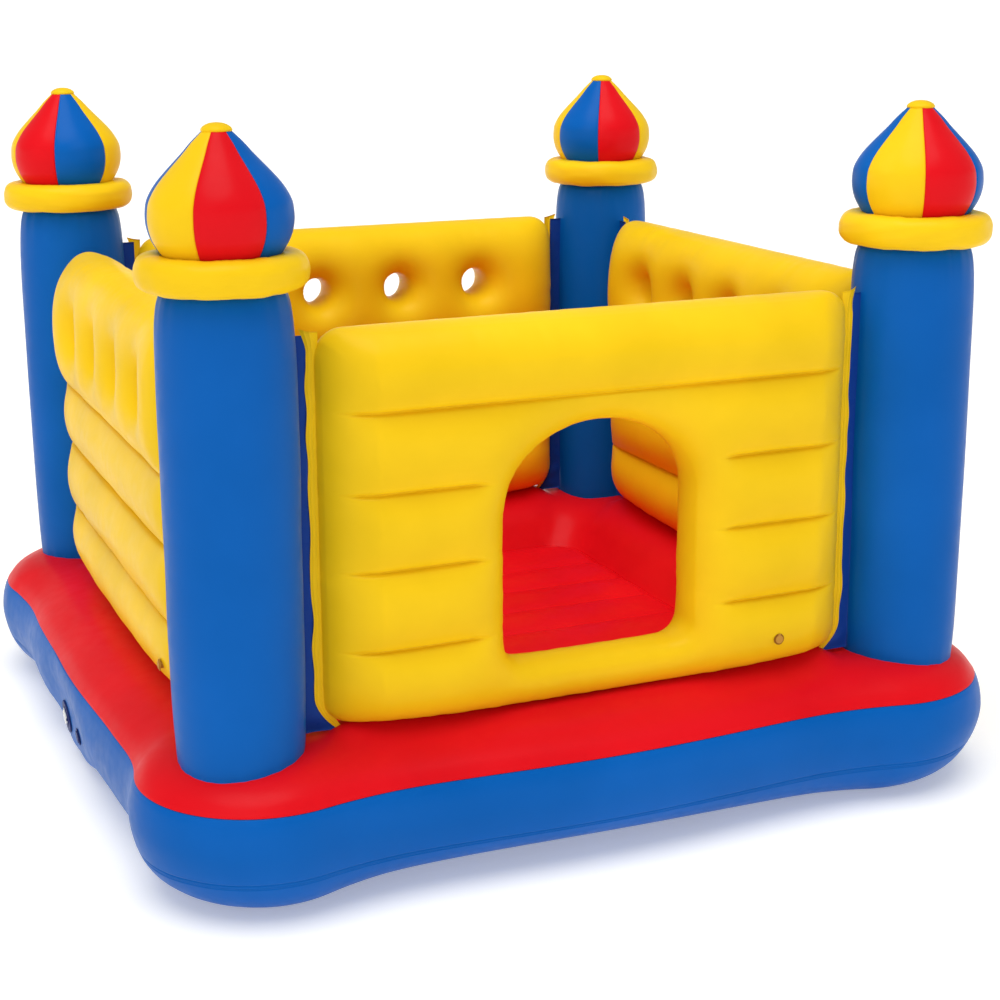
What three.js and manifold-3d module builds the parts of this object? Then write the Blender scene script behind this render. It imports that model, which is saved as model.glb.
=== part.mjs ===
// An inflatable castle bounce house: a padded base ring round a channelled jump floor, four round
// corner pillars with ring collars and onion domes, and four quilted walls between the pillars, the
// front one with an arched doorway and the others with a row of round windows.
// Millimetres, +Z up. The origin is on the ground under the centre; the doorway faces -Y.
import * as THREE from "three";
import { mergeVertices } from "three/addons/utils/BufferGeometryUtils.js";
import Module from "manifold-3d";

const wasm = await Module();
wasm.setup();

// ---- driving dimensions ----
const SPAN = 1750; // across the corner lobes, both ways
const HEIGHT = 1350; // ground to dome tips
const SKIN = 4; // every air chamber is a vinyl skin of this thickness
const GAP = 0.3; // between pieces that touch or are welded together

const LOBE_R = 233; // plan radius of the base's corner lobes
const SIDE = 862; // half width of the base between the lobes
const FILLET_R = 260; // hollow curve from a straight side into a lobe
const RING_TOP = 270;
const ROLL = RING_TOP / 2; // the ring's outer side is about a half circle
const SEAM_Z = 213; // weld between the side panel and the top panel

const FLOOR_Z = 180;
const FLOOR_HALF = 530;
const FLOOR_CORNER = 90;
const CHANNEL = 139; // width of a jump floor channel
const CREASE_DROP = 10; // how far a floor crease lies below the floor
const FLOOR_CREASES = [-2.5, -1.5, -0.5, 0.5, 1.5, 2.5].map((k) => k * CHANNEL);

const PILLAR_AT = 679; // pillar axes and wall planes, from the centre
const PILLAR_R = 112; // at the two ends
const PILLAR_BULGE = 5;
const PILLAR_TOP = 1079;

const COLLAR_R = 113; // centre line of the collar's tube
const COLLAR_TUBE = 31;
const COLLAR_SLOT = 35; // half angle of the slit on the collar's inner side, in degrees
const DOME_NECK_R = 80;
const CAP_R = 22;
const CAP_H = 7;

const WALL_TOP = 1000;
const WALL_BOTTOM = RING_TOP + GAP;
const WALL_HALF = 545; // half length with the weld flanges
const FLANGE = 16;
const FLANGE_T = 3; // half thickness of a weld flange
const WALL_CREASES = [432, 574, 716, 858]; // the fourth only in the front wall
const CREASE_T = 58; // half thickness of a wall at a crease
const BULGE_T = 84;
const TOP_BULGE_T = 92;
const END_ROLL = 85; // length over which a wall's end rounds off

const DOOR_HALF = 188;
const DOOR_SILL = 362;
const DOOR_SPRING = 650; // where the arch begins
const DOOR_RISE = 150;
const DOOR_CORNER = 35;

const WINDOW_R = 30;
const WINDOW_Z = 850;
const WINDOW_PITCH = 206;
const WINDOW_X = [-1.5, -0.5, 0.5, 1.5].map((k) => k * WINDOW_PITCH);

const STRIP_T = 2; // inner strips that hold two faces together
const WEB_T = 2; // half thickness of the webs between walls and pillars

const FRONT_VALVE_X = 355; // wall valve, low on the right of the front wall's outer face
const SIDE_VALVE_X = 420; // the same on the three window walls
const VALVE_Z = 351;
const STEM_R = 7;
const STEM_BORE = 4;
const STEM_HEAD_R = 11;
const STEM_LENGTH = 24;

const BIG_VALVE_Y = 45; // inflation valve, on the base's -X side
const SMALL_VALVE_Y = -75;
const FACET_LOW = [8, 58]; // [inset, height] of the side panel's facet that holds the valves
const FACET_HIGH = [0, 132];
const BIG_NECK_R = 26;
const BIG_FLANGE_R = 35;
const BIG_BORE_R = 22.5;
const INSERT_R = 22;
const INSERT_BORE = 14;
const BIG_CAP_R = 15;

// ---- materials ----
const vinyl = (color) => new THREE.MeshStandardMaterial({ color, roughness: 0.35, metalness: 0 });
const blueVinyl = () => vinyl(0x005cab);
const redVinyl = () => vinyl(0xe31f26);
const yellowVinyl = () => vinyl(0xfbd300);
const webVinyl = () => vinyl(0x173f9a);
const innerVinyl = () => vinyl(0xe8e4da);
const plastic = (color) => new THREE.MeshStandardMaterial({ color, roughness: 0.42, metalness: 0 });
const valvePlastic = () => plastic(0x28406e);
const whitePlastic = () => plastic(0xf1f1ee);

// ---- solids and booleans ----
function toSolid(geometry) {
  const bare = geometry.clone();
  bare.deleteAttribute("normal");
  bare.deleteAttribute("uv");
  const merged = mergeVertices(bare, 1e-3);
  return new wasm.Manifold(
    new wasm.Mesh({
      numProp: 3,
      vertProperties: merged.attributes.position.array,
      triVerts: new Uint32Array(merged.index.array),
    }),
  );
}

function toGeometry(solid) {
  const mesh = solid.getMesh();
  const geometry = new THREE.BufferGeometry();
  geometry.setAttribute("position", new THREE.BufferAttribute(mesh.vertProperties, 3));
  geometry.setIndex(new THREE.BufferAttribute(mesh.triVerts, 1));
  geometry.computeVertexNormals();
  return geometry;
}

// A closed quad strip: rings of points, each ring a closed loop, the rings closing on each other too.
function torusLoft(rings) {
  const n = rings[0].length;
  const positions = rings.flat(2);
  const index = [];
  rings.forEach((_, i) => {
    const next = (i + 1) % rings.length;
    for (let j = 0; j < n; j++) {
      const k = (j + 1) % n;
      const [a, b, c, d] = [i * n + j, i * n + k, next * n + k, next * n + j];
      index.push(a, d, b, b, d, c);
    }
  });
  const geometry = new THREE.BufferGeometry();
  geometry.setAttribute("position", new THREE.Float32BufferAttribute(positions, 3));
  geometry.setIndex(index);
  return geometry;
}

// A body of revolution about +Z from [radius, height] pairs, given upwards along its outside.
function lathe(profile, segments) {
  const points = profile.map(([r, z]) => new THREE.Vector2(r, z));
  return new THREE.LatheGeometry(points, segments).rotateX(Math.PI / 2);
}

// A rod about the origin along Z, to cut a valve's hole with.
function drill(radius) {
  const reach = 30;
  return lathe([[0, -reach], [radius, -reach], [radius, reach], [0, reach]], 16);
}

function box(x0, x1, y0, y1, z0, z1) {
  return new THREE.BoxGeometry(x1 - x0, y1 - y0, z1 - z0).translate(
    (x0 + x1) / 2,
    (y0 + y1) / 2,
    (z0 + z1) / 2,
  );
}

function named(name, geometry, material) {
  const mesh = new THREE.Mesh(geometry, material);
  mesh.name = name;
  return mesh;
}

// ---- base ----
// Plan outline of the base, counter-clockwise: straight sides, hollow fillets and corner lobes.
function baseOutline() {
  const lobeAt = SPAN / 2 - LOBE_R;
  const reach = LOBE_R + FILLET_R;
  const across = SIDE + FILLET_R - lobeAt;
  const filletY = lobeAt - Math.sqrt(reach ** 2 - across ** 2);
  const turn = Math.asin((lobeAt - filletY) / reach);
  const eighth = [[SIDE, filletY / 2]];
  for (let k = 0; k <= 1; k++) {
    const a = (turn * k) / 2;
    eighth.push([SIDE + FILLET_R * (1 - Math.cos(a)), filletY + FILLET_R * Math.sin(a)]);
  }
  for (let k = 0; k <= 3; k++) {
    const a = -turn + ((Math.PI / 4 + turn) * k) / 3;
    eighth.push([lobeAt + LOBE_R * Math.cos(a), lobeAt + LOBE_R * Math.sin(a)]);
  }
  const mirrored = eighth.slice(0, -1).reverse().map(([x, y]) => [y, x]);
  const quarter = [...eighth, ...mirrored];
  return [0, 1, 2, 3].flatMap((q) => quarter.map(([x, y]) => quarterTurn(x, y, q)));
}

function quarterTurn(x, y, turns) {
  const c = [1, 0, -1, 0][turns];
  const s = [0, 1, 0, -1][turns];
  return [c * x - s * y, s * x + c * y];
}

// The point of the floor's rounded square that an outline point looks in on: straight across along
// the sides, and towards the centre of the corner's curve at the corners.
function floorEdge([x, y]) {
  const straight = FLOOR_HALF - FLOOR_CORNER;
  if (Math.abs(y) <= straight) return [Math.sign(x) * FLOOR_HALF, y];
  if (Math.abs(x) <= straight) return [x, Math.sign(y) * FLOOR_HALF];
  const cx = Math.sign(x) * straight;
  const cy = Math.sign(y) * straight;
  const length = Math.hypot(x - cx, y - cy);
  return [cx + ((x - cx) * FLOOR_CORNER) / length, cy + ((y - cy) * FLOOR_CORNER) / length];
}

// Moves an outline point inwards. Beyond the outer roll the way is stretched to end at the floor.
function inward(point, inset) {
  const edge = floorEdge(point);
  const whole = Math.hypot(edge[0] - point[0], edge[1] - point[1]);
  const sideWhole = SIDE - FLOOR_HALF;
  const way = inset <= ROLL ? inset : ROLL + ((inset - ROLL) * (whole - ROLL)) / (sideWhole - ROLL);
  return [0, 1].map((i) => point[i] + ((edge[i] - point[i]) * way) / whole);
}

// A skin that follows a section, [inset, height] pairs, all the way round. Its end at the weld
// between the side and top panels is cut level.
function ringSkin(section) {
  const inner = section.map((p, i) => {
    if (Math.abs(p[1] - SEAM_Z) <= GAP) return [p[0] + SKIN, p[1]];
    const a = section[Math.max(i - 1, 0)];
    const b = section[Math.min(i + 1, section.length - 1)];
    const length = Math.hypot(b[0] - a[0], b[1] - a[1]);
    return [p[0] + (SKIN * (b[1] - a[1])) / length, p[1] - (SKIN * (b[0] - a[0])) / length];
  });
  const loop = [...section, ...inner.reverse()];
  return torusLoft(
    baseOutline().map((point) => loop.map(([inset, z]) => [...inward(point, inset), z])),
  );
}

function baseSide() {
  const section = [[130, 0], [98, 13], FACET_LOW, FACET_HIGH, [8, 180], [25, SEAM_Z - GAP]];
  const skin = toSolid(ringSkin(section));
  const bigHole = toSolid(facetPlaced(drill(BIG_NECK_R + 0.6), BIG_VALVE_Y));
  const smallHole = toSolid(facetPlaced(drill(STEM_R + 0.5), SMALL_VALVE_Y));
  return toGeometry(skin.subtract(bigHole).subtract(smallHole));
}

function baseTop() {
  const inside = SIDE - FLOOR_HALF - 4 * GAP; // stops short of the floor
  return ringSkin([
    [25, SEAM_Z], [48, 240], [90, 264], [ROLL, RING_TOP], [216, RING_TOP],
    [261, 255], [296, 222], [inside, FLOOR_Z],
  ]);
}

function outlineShape(points) {
  return new THREE.Shape(points.map(([x, y]) => new THREE.Vector2(x, y)));
}

function bottomSheet() {
  const shape = outlineShape(baseOutline().map((point) => inward(point, 133)));
  return new THREE.ExtrudeGeometry(shape, { depth: SKIN, bevelEnabled: false });
}

function roundedSquare(half, corner) {
  const shape = new THREE.Shape();
  const s = half - corner;
  shape.absarc(s, s, corner, 0, Math.PI / 2);
  shape.absarc(-s, s, corner, Math.PI / 2, Math.PI);
  shape.absarc(-s, -s, corner, Math.PI, 1.5 * Math.PI);
  shape.absarc(s, -s, corner, 1.5 * Math.PI, 2 * Math.PI);
  return shape;
}

// The jump floor: a sheet with creases along X, cut to the rounded square inside the ring.
function jumpFloor() {
  const top = [[-FLOOR_HALF - 10, FLOOR_Z]];
  FLOOR_CREASES.forEach((y) => {
    top.push([y - CHANNEL / 3, FLOOR_Z], [y, FLOOR_Z - CREASE_DROP], [y + CHANNEL / 3, FLOOR_Z]);
  });
  top.push([FLOOR_HALF + 10, FLOOR_Z]);
  const under = [...top].reverse().map(([y, z]) => [y, z - SKIN]);
  const sheet = new THREE.ExtrudeGeometry(outlineShape([...top, ...under]), {
    depth: 2 * FLOOR_HALF + 20,
    bevelEnabled: false,
  });
  sheet.rotateX(Math.PI / 2).rotateZ(Math.PI / 2).translate(-FLOOR_HALF - 10, 0, 0);
  const plan = new THREE.ExtrudeGeometry(roundedSquare(FLOOR_HALF - 1, FLOOR_CORNER), {
    depth: 300,
    bevelEnabled: false,
    curveSegments: 3,
  });
  return toGeometry(toSolid(sheet).intersect(toSolid(plan)));
}

function buildBase(group) {
  group.add(named("base_side_panel", baseSide(), blueVinyl()));
  group.add(named("base_top_panel", baseTop(), redVinyl()));
  group.add(named("base_bottom_sheet", bottomSheet(), blueVinyl()));
  group.add(named("jump_floor", jumpFloor(), redVinyl()));
  const low = SKIN + GAP;
  const high = FLOOR_Z - CREASE_DROP - SKIN - 1;
  FLOOR_CREASES.forEach((y, i) => {
    const strip = box(-480, 480, y - STRIP_T / 2, y + STRIP_T / 2, low, high);
    group.add(named(`floor_strip_${i + 1}`, strip, innerVinyl()));
  });
}

// ---- towers ----
function pillar() {
  const foot = RING_TOP + GAP;
  const outside = [0, 0.5, 1].map((t) => [
    PILLAR_R + PILLAR_BULGE * Math.sin(Math.PI * t),
    foot + (PILLAR_TOP - foot) * t,
  ]);
  const inside = [...outside].reverse().map(([r, z]) => [r - SKIN, z]);
  inside[0][1] -= SKIN;
  return lathe([...outside, [0, PILLAR_TOP], [0, PILLAR_TOP - SKIN], ...inside, outside[0]], 20);
}

// A ring tube whose skin is open in a slit towards the dome's neck, where its air comes in.
function collar() {
  const z = PILLAR_TOP + GAP + COLLAR_TUBE;
  const steps = 6;
  const arc = (radius) =>
    Array.from({ length: steps + 1 }, (_, i) => {
      const a = THREE.MathUtils.degToRad(COLLAR_SLOT - 180 + ((360 - 2 * COLLAR_SLOT) * i) / steps);
      return [COLLAR_R + radius * Math.cos(a), z + radius * Math.sin(a)];
    });
  const outer = arc(COLLAR_TUBE);
  return lathe([...outer, ...arc(COLLAR_TUBE - SKIN).reverse(), outer[0]], 16);
}

function domeProfile() {
  const neck = PILLAR_TOP + GAP;
  const top = HEIGHT - CAP_H - GAP;
  return [
    [DOME_NECK_R, neck], [DOME_NECK_R, 1128], [104, 1151], [118, 1180], [119, 1208],
    [106, 1245], [72, 1286], [40, 1320], [CAP_R + 1, top],
  ];
}

function dome() {
  const outside = domeProfile();
  const top = outside[outside.length - 1][1];
  const inside = [...outside].reverse().map(([r, z]) => [r - SKIN, z]);
  inside[0][1] -= SKIN;
  return lathe([...outside, [0, top], [0, top - SKIN], ...inside, outside[0]], 12);
}

function domeCap() {
  const low = HEIGHT - CAP_H;
  const edge = low + 4;
  return lathe([[0, low], [CAP_R, low], [CAP_R - 2, edge], [CAP_R / 2, HEIGHT - 1], [0, HEIGHT]], 12);
}

function buildTowers(group) {
  const corners = { front_left: [-1, -1], front_right: [1, -1], back_right: [1, 1], back_left: [-1, 1] };
  for (const [corner, [sx, sy]] of Object.entries(corners)) {
    const tower = new THREE.Group();
    tower.position.set(sx * PILLAR_AT, sy * PILLAR_AT, 0);
    tower.add(named(`${corner}_pillar`, pillar(), blueVinyl()));
    tower.add(named(`${corner}_collar`, collar(), yellowVinyl()));
    tower.add(named(`${corner}_dome`, dome(), redVinyl()));
    tower.add(named(`${corner}_dome_cap`, domeCap(), yellowVinyl()));
    group.add(tower);
  }
}

// ---- walls ----
// In a wall's own frame the wall lies in the XZ plane and its outer face looks along -Y.
// Half thickness up the wall: [height, half thickness] pairs, flat on the crest of each channel.
function wallSection(creases) {
  const rows = [[WALL_BOTTOM, FLANGE_T], [WALL_BOTTOM + 15, 50], [320, BULGE_T - 4], [382, BULGE_T - 4]];
  creases.forEach((z, i) => {
    rows.push([z, CREASE_T]);
    const next = creases[i + 1];
    if (next) rows.push([(z + next) / 2, BULGE_T]);
  });
  const last = creases[creases.length - 1];
  const rise = WALL_TOP - last;
  rows.push([last + 0.3 * rise, TOP_BULGE_T], [WALL_TOP - 0.35 * rise, TOP_BULGE_T]);
  rows.push([WALL_TOP - 0.1 * rise, 60], [WALL_TOP, FLANGE_T]);
  return rows;
}

// Half thickness along the wall, as a share of the full bulge.
const WALL_COLUMNS = [0, 0.7, 1].map((t) => [
  WALL_HALF - FLANGE - END_ROLL + END_ROLL * t,
  Math.sqrt(1 - t * t),
]);

// The part of space within the wall's half thickness less an inset, on one side of its middle.
function faceSlab(creases, inset, side) {
  const far = 150;
  const columns = [[WALL_HALF, 0], ...[...WALL_COLUMNS].reverse()];
  const xs = [...columns.map(([x, s]) => [-x, s]), [0, 1], ...columns.reverse()];
  const rows = wallSection(creases);
  const grid = (height) => xs.flatMap(([x, s]) => rows.map(([z, t]) => [x, height(s, t), z]));
  const face = grid((s, t) => side * (FLANGE_T + (t - FLANGE_T) * s - inset));
  const back = grid(() => -side * far);
  const n = rows.length;
  const index = [];
  const quad = (a, b, c, d) => index.push(...(side > 0 ? [a, b, c, a, c, d] : [a, c, b, a, d, c]));
  const half = face.length;
  for (let i = 0; i + 1 < xs.length; i++)
    for (let j = 0; j + 1 < n; j++) {
      const a = i * n + j;
      quad(a, a + 1, a + n + 1, a + n);
      quad(half + a, half + a + n, half + a + n + 1, half + a + 1);
    }
  for (let i = 0; i + 1 < xs.length; i++) {
    const a = i * n;
    const b = a + n - 1;
    quad(a, a + n, half + a + n, half + a);
    quad(b, half + b, half + b + n, b + n);
  }
  for (let j = 0; j + 1 < n; j++) {
    const c = (xs.length - 1) * n + j;
    quad(j, half + j, half + j + 1, j + 1);
    quad(c, c + 1, half + c + 1, half + c);
  }
  const geometry = new THREE.BufferGeometry();
  geometry.setAttribute("position", new THREE.Float32BufferAttribute([...face, ...back].flat(), 3));
  geometry.setIndex(index);
  return toSolid(geometry);
}

const fullWall = (creases, inset) => faceSlab(creases, inset, 1).intersect(faceSlab(creases, inset, -1));

// A prism through the wall along Y from a shape drawn in X and Z.
function throughWall(shape, curveSegments) {
  const prism = new THREE.ExtrudeGeometry(shape, { depth: 300, bevelEnabled: false, curveSegments });
  return toSolid(prism.rotateX(Math.PI / 2).translate(0, 150, 0));
}

function doorShape(grow) {
  const half = DOOR_HALF + grow;
  const low = DOOR_SILL - grow;
  const corner = DOOR_CORNER + grow;
  const shape = new THREE.Shape();
  shape.absarc(half - corner, low + corner, corner, -Math.PI / 2, 0);
  shape.absellipse(0, DOOR_SPRING, half, DOOR_RISE + grow, 0, Math.PI);
  shape.absarc(corner - half, low + corner, corner, Math.PI, 1.5 * Math.PI);
  return shape;
}

function windowShape(x, grow) {
  return new THREE.Shape().absarc(x, WINDOW_Z, WINDOW_R + grow, 0, 2 * Math.PI);
}

// All the openings through a wall, grown by an amount all round.
function openings(isFront, grow) {
  const curveSegments = 6;
  if (isFront) return throughWall(doorShape(grow), curveSegments);
  const holes = WINDOW_X.map((x) => throughWall(windowShape(x, grow), curveSegments));
  return holes.slice(1).reduce((all, hole) => all.add(hole), holes[0]);
}

function wallBody(creases, isFront) {
  const valveX = isFront ? FRONT_VALVE_X : SIDE_VALVE_X;
  const air = fullWall(creases, SKIN).subtract(openings(isFront, SKIN));
  const valveHole = drill(STEM_R + 0.5).rotateX(Math.PI / 2).translate(valveX, -BULGE_T, VALVE_Z);
  const skin = fullWall(creases, 0).subtract(openings(isFront, 0)).subtract(air);
  return toGeometry(skin.subtract(toSolid(valveHole)));
}

// Horizontal strips that tie the two faces together at the creases, joined by a tape at one end.
function stripSet(creases, x0, x1, tapeX) {
  const reach = CREASE_T - SKIN - 1;
  const half = STRIP_T / 2;
  const strips = creases.map((z) => toSolid(box(x0, x1, -reach, reach, z - half, z + half)));
  const tape = toSolid(box(tapeX - 1, tapeX + 1, -8, 8, creases[0], creases[creases.length - 1]));
  return toGeometry(strips.reduce((all, strip) => all.add(strip), tape));
}

function buildWallValve(wall, name, valveX) {
  const valve = new THREE.Group();
  valve.position.set(valveX, -(BULGE_T - 4) - GAP, VALVE_Z);
  valve.rotation.x = Math.PI / 2;
  valve.add(named(`${name}_valve_stem`, valveStem(1), valvePlastic()));
  valve.add(named(`${name}_valve_plug`, valvePlug(1), whitePlastic()));
  wall.add(valve);
}

// A pushed-in mouth valve, its head on the plane z = 0, looking along +Z.
function valveStem(scale) {
  const head = 1.5;
  return lathe(
    [
      [STEM_BORE, -STEM_LENGTH], [STEM_R - 0.4, -STEM_LENGTH], [STEM_R - 0.4, 0],
      [STEM_HEAD_R * scale, 0], [STEM_HEAD_R * scale, head], [STEM_BORE, head], [STEM_BORE, -STEM_LENGTH],
    ],
    12,
  );
}

// The plug: a disc with a short spigot, and a tab at its hinge edge.
function valvePlug(scale) {
  const low = 1.5 + GAP;
  const radius = (STEM_HEAD_R - 3) * scale;
  const top = low + 1.6;
  const spigot = STEM_BORE - 0.5;
  const profile = [[0, -0.5], [spigot, -0.5], [spigot, low], [radius, low], [radius, top], [0, top]];
  const disc = toSolid(lathe(profile, 12));
  const tab = toSolid(box(-2.5, 2.5, radius - 1, STEM_HEAD_R * scale, low, low + 1.2));
  return toGeometry(disc.add(tab));
}

function buildWalls(group) {
  const sides = { front: 0, right: 1, back: 2, left: 3 };
  for (const [side, turns] of Object.entries(sides)) {
    const isFront = side === "front";
    const creases = isFront ? WALL_CREASES : WALL_CREASES.slice(0, 3);
    const name = `${side}_wall`;
    const wall = new THREE.Group();
    const [x, y] = quarterTurn(0, -PILLAR_AT, turns);
    wall.position.set(x, y, 0);
    wall.rotation.z = (turns * Math.PI) / 2;
    wall.add(named(name, wallBody(creases, isFront), yellowVinyl()));
    for (const [end, sign] of [["left", -1], ["right", 1]]) {
      const reach = PILLAR_AT - PILLAR_R - PILLAR_BULGE - 0.5;
      const [near, far] = [sign * (WALL_HALF + GAP), sign * reach];
      const web = box(Math.min(near, far), Math.max(near, far), -WEB_T, WEB_T, 290, 985);
      wall.add(named(`${name}_${end}_web`, web, webVinyl()));
    }
    addStrips(wall, name, isFront);
    buildWallValve(wall, name, isFront ? FRONT_VALVE_X : SIDE_VALVE_X);
    group.add(wall);
  }
}

function addStrips(wall, name, isFront) {
  const end = 440;
  const lower = WALL_CREASES.slice(0, 3);
  if (!isFront) {
    wall.add(named(`${name}_strips`, stripSet(lower, -end, end, -end + 1), innerVinyl()));
    return;
  }
  const jamb = DOOR_HALF + 40;
  const reach = CREASE_T - SKIN - 1;
  const lintelZ = WALL_CREASES[3];
  const lintel = box(-end, end, -reach, reach, lintelZ - STRIP_T / 2, lintelZ + STRIP_T / 2);
  wall.add(named(`${name}_lintel_strip`, lintel, innerVinyl()));
  wall.add(named(`${name}_left_strips`, stripSet(lower, -end, -jamb, -jamb - 1), innerVinyl()));
  wall.add(named(`${name}_right_strips`, stripSet(lower, jamb, end, jamb + 1), innerVinyl()));
}

// ---- valves on the base's -X side ----
// Where the facet of the side panel lies: its middle, and its lean from the vertical.
const facetLean = Math.atan2(FACET_LOW[0] - FACET_HIGH[0], FACET_HIGH[1] - FACET_LOW[1]);
const facetInset = (FACET_LOW[0] + FACET_HIGH[0]) / 2;
const facetZ = (FACET_LOW[1] + FACET_HIGH[1]) / 2;

// Turns +Z to the facet's outward normal and moves the origin to the middle of the facet.
function facetMatrix(y) {
  const turn = new THREE.Matrix4().makeRotationY(-Math.PI / 2 - facetLean);
  return turn.setPosition(-SIDE + facetInset, y, facetZ);
}

function facetPlaced(geometry, y) {
  return geometry.applyMatrix4(facetMatrix(y));
}

function bigValveBody() {
  const face = 3;
  return lathe(
    [
      [BIG_BORE_R, -22], [BIG_NECK_R, -22], [BIG_NECK_R, GAP], [BIG_FLANGE_R, GAP],
      [BIG_FLANGE_R - 1, face], [BIG_BORE_R, face], [BIG_BORE_R, -22],
    ],
    24,
  );
}

// The screw-in insert, with two finger lugs across its face.
function bigValveInsert() {
  const ring = toSolid(
    lathe([[INSERT_BORE, -14], [INSERT_R, -14], [INSERT_R, 4], [INSERT_BORE, 4], [INSERT_BORE, -14]], 24),
  );
  const lugs = [0, Math.PI].map((a) => toSolid(box(-2, 2, 16.5, 21, 3, 6.5).rotateZ(a)));
  return toGeometry(ring.add(lugs[0]).add(lugs[1]));
}

// The soft check flap, hung from its top edge under the insert.
function bigValveFlap() {
  return lathe([[0, -15.8], [INSERT_BORE + 2, -15.8], [INSERT_BORE + 2, -14 - GAP], [0, -14 - GAP]], 20);
}

// The cap: a disc with a shallow spigot and a strap tab at its hinge edge.
function bigValveCap() {
  const low = 4 + GAP;
  const top = low + 2.4;
  const spigot = INSERT_BORE - 0.6;
  const profile = [[0, 1.5], [spigot, 1.5], [spigot, low], [BIG_CAP_R, low], [BIG_CAP_R, top], [0, top]];
  const disc = toSolid(lathe(profile, 20));
  const tab = toSolid(box(BIG_CAP_R - 1.5, BIG_CAP_R + 4, -3, 3, low, low + 1.4));
  return toGeometry(disc.add(tab));
}

function buildBaseValves(group) {
  const big = new THREE.Group();
  big.applyMatrix4(facetMatrix(BIG_VALVE_Y));
  big.add(named("inflation_valve_body", bigValveBody(), valvePlastic()));
  big.add(named("inflation_valve_insert", bigValveInsert(), valvePlastic()));
  big.add(named("inflation_valve_flap", bigValveFlap(), innerVinyl()));
  big.add(named("inflation_valve_cap", bigValveCap(), whitePlastic()));
  const small = new THREE.Group();
  small.applyMatrix4(facetMatrix(SMALL_VALVE_Y));
  const seat = new THREE.Group();
  seat.position.z = GAP;
  seat.add(named("base_valve_stem", valveStem(1.6), valvePlastic()));
  seat.add(named("base_valve_plug", valvePlug(1.6), valvePlastic()));
  small.add(seat);
  group.add(big, small);
}

const bounceHouse = new THREE.Group();
buildBase(bounceHouse);
buildTowers(bounceHouse);
buildWalls(bounceHouse);
buildBaseValves(bounceHouse);

export default bounceHouse;
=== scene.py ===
# An inflatable castle bounce house: a padded base ring round a channelled jump floor, corner pillars
# with ring collars and onion domes, and quilted walls between them. Metres, in the frame of the part.
import math

import bpy
import numpy as np
from mathutils import Matrix, Vector
from mathutils.bvhtree import BVHTree


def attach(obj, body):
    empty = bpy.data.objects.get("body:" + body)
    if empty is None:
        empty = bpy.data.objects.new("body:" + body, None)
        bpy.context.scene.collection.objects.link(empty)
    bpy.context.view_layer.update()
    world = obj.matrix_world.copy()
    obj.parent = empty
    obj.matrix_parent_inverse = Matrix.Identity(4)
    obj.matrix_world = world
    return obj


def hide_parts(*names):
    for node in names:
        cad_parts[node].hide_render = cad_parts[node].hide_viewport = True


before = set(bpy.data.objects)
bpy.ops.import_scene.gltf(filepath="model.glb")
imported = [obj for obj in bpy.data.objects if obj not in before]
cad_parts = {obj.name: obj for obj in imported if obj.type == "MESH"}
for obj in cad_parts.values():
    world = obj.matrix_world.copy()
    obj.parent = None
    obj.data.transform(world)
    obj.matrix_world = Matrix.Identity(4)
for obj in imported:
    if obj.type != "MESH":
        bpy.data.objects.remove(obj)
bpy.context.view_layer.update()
HOUSE = "house"
MM = 0.001

# ---- driving sizes ----
SPAN = 1740 * MM  # across the corner lobes
LOBE_R = 232 * MM
SIDE = 845 * MM  # half width at the waists beside the lobes
BOW = 19 * MM  # the sides swell by this between the waists
FILLET_R = 850 * MM
RING_TOP = 270 * MM
ROLL = RING_TOP / 2
LOW_SEAM_Z = 92 * MM
RING_WIDTH = 332 * MM  # from the base's side to the floor
VALVES = [(45 * MM, 38 * MM), (-75 * MM, 15 * MM)]  # y and radius of the valves on the left side
VALVE_AT_Z = 95 * MM
VALVE_FACET_X = -857.4 * MM
VALVE_LEAN = 8 / 74
FLOOR_Z = 180 * MM
FLOOR_HALF = 530 * MM
FLOOR_CORNER = 90 * MM
CHANNEL = 139 * MM
WALL_AT = 679 * MM
WALL_HALF = 528 * MM  # to the weld line at the wall's ends
WALL_LOW = 270 * MM
WALL_TOP = 1001 * MM
WALL_CORNER = 52 * MM
FLANGE_END = 544 * MM
DOOR_HALF = 188 * MM
DOOR_SILL = 362 * MM
DOOR_SPRING = 650 * MM
DOOR_RISE = 150 * MM
DOOR_CORNER = 35 * MM
WINDOW_R = 30 * MM
WINDOW_Z = 850 * MM
WINDOW_X = [k * 206 * MM for k in (-1.5, -0.5, 0.5, 1.5)]
TOP_CREASE = 860  # the front wall's uppermost crease, in millimetres; only this one runs past the doorway
STRIP_END = 0.516  # the inner strips end this far from the wall's middle
COLLAR_Z = 1110.5 * MM
PILLAR_TOP = 1081 * MM

TOWERS = {
    # corner: signs of x and y, first seam's angle in degrees, the order of the gores' colours
    "front_left": (-1, -1, 54.5, ("red", "blue", "yellow")),
    "front_right": (1, -1, 1.5, ("yellow", "red", "blue")),
    "back_right": (1, 1, 0.0, ("blue", "red", "yellow")),
    "back_left": (-1, 1, 7.4, ("red", "blue", "yellow")),
}
SIDES = {"front": 0, "right": 1, "back": 2, "left": 3}


# ---- materials ----
def linear(r, g, b):
    """A colour given as 0 to 255 display values."""
    return tuple((c / 255 / 12.92 if c <= 10 else ((c / 255 + 0.055) / 1.055) ** 2.4) for c in (r, g, b))


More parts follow.
